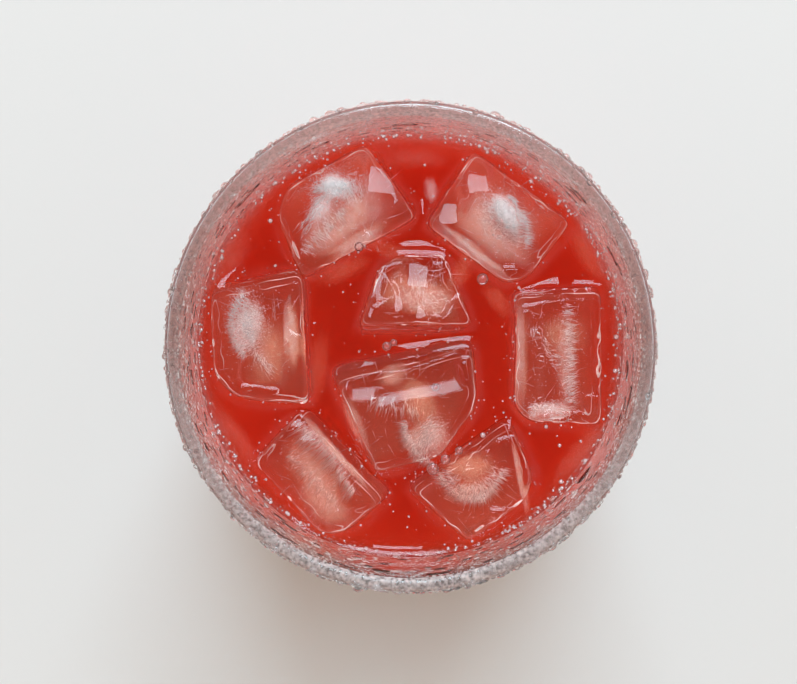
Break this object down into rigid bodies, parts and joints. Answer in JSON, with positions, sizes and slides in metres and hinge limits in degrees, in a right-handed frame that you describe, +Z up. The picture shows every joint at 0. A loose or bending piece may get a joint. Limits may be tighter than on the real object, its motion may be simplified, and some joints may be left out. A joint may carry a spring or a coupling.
{
  "type": "sea breeze cocktail",
  "caption": "Red iced cocktail in a heavy-footed clear tumbler, with blocks of ice floating at the top and a frosted, beaded outside.",
  "frame": {"origin": "middle of the glass's foot, on the surface it stands on", "axes": "+Z up the glass's axis, +Y towards the window side, away from the drinker"},
  "size_m": [0.0878, 0.0878, 0.096],
  "materials": {
    "glass": "clear, smooth, beaded with condensation outside",
    "drink": "cloudy red drink with a wet, smooth surface",
    "ice": "clear wet ice with white cloudy middles"
  },
  "bodies": {
    "root": {"glass": "glass", "drink": "drink", "ice_upper_left": "ice", "ice_upper_right": "ice", "ice_right": "ice", "ice_lower_right": "ice", "ice_lower_left": "ice", "ice_left": "ice", "ice_middle_upper": "ice", "ice_middle_lower": "ice"}
  },
  "joints": []
}
